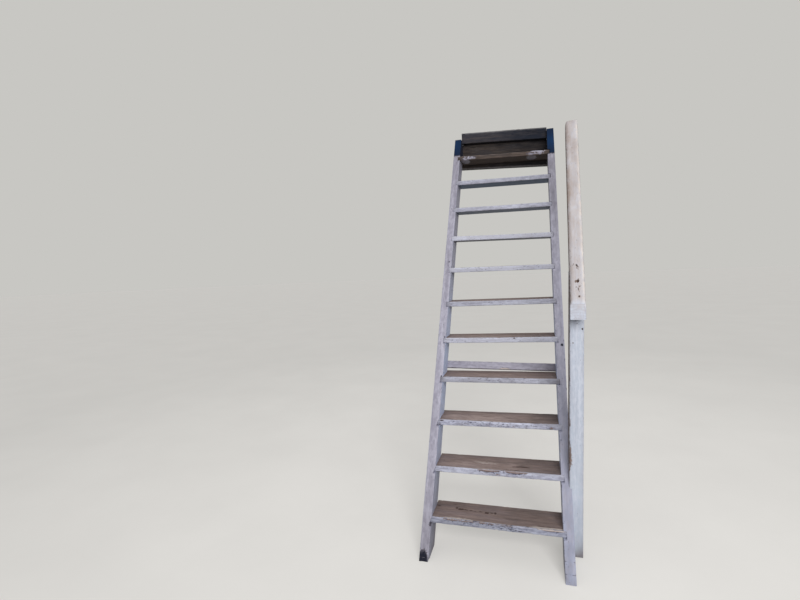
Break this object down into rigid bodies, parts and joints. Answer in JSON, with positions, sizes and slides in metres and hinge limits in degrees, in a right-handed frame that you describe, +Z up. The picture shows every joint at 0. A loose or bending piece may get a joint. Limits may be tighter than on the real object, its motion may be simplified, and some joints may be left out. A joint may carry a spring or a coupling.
{
  "type": "open-tread timber loft stair",
  "caption": "Steep open-tread timber loft stair with housed treads, a raked handrail on a newel post and a hanger board for the joist.",
  "frame": {"origin": "centre of the hanger board's back face, where the stair is fixed to the loft's joist", "axes": "+X along the treads, to the right of someone climbing; +Y the way one climbs, out of the hanger board's back face; +Z up"},
  "size_m": [0.8651, 1.6754, 2.605],
  "materials": {
    "string_paint": "worn matt lilac-grey paint",
    "tread_paint": "paint worn to bare taupe timber on top",
    "worn_timber": "dark bare timber with remnants of paint",
    "newel_paint": "chipped matt bluish-white paint",
    "rail_paint": "hand-worn pinkish-grey paint",
    "dark_timber": "old dark unpainted timber"
  },
  "bodies": {
    "root": {"left_string": "string_paint", "right_string": "string_paint", "tread_01": "tread_paint", "tread_02": "tread_paint", "tread_03": "tread_paint", "tread_04": "tread_paint", "tread_05": "tread_paint", "tread_06": "tread_paint", "tread_07": "tread_paint", "tread_08": "tread_paint", "tread_09": "tread_paint", "tread_10": "tread_paint", "tread_11": "worn_timber", "newel_post": "newel_paint", "handrail": "rail_paint", "back_rail": "string_paint", "hanger_board": "dark_timber", "landing_nosing": "dark_timber"}
  },
  "joints": []
}
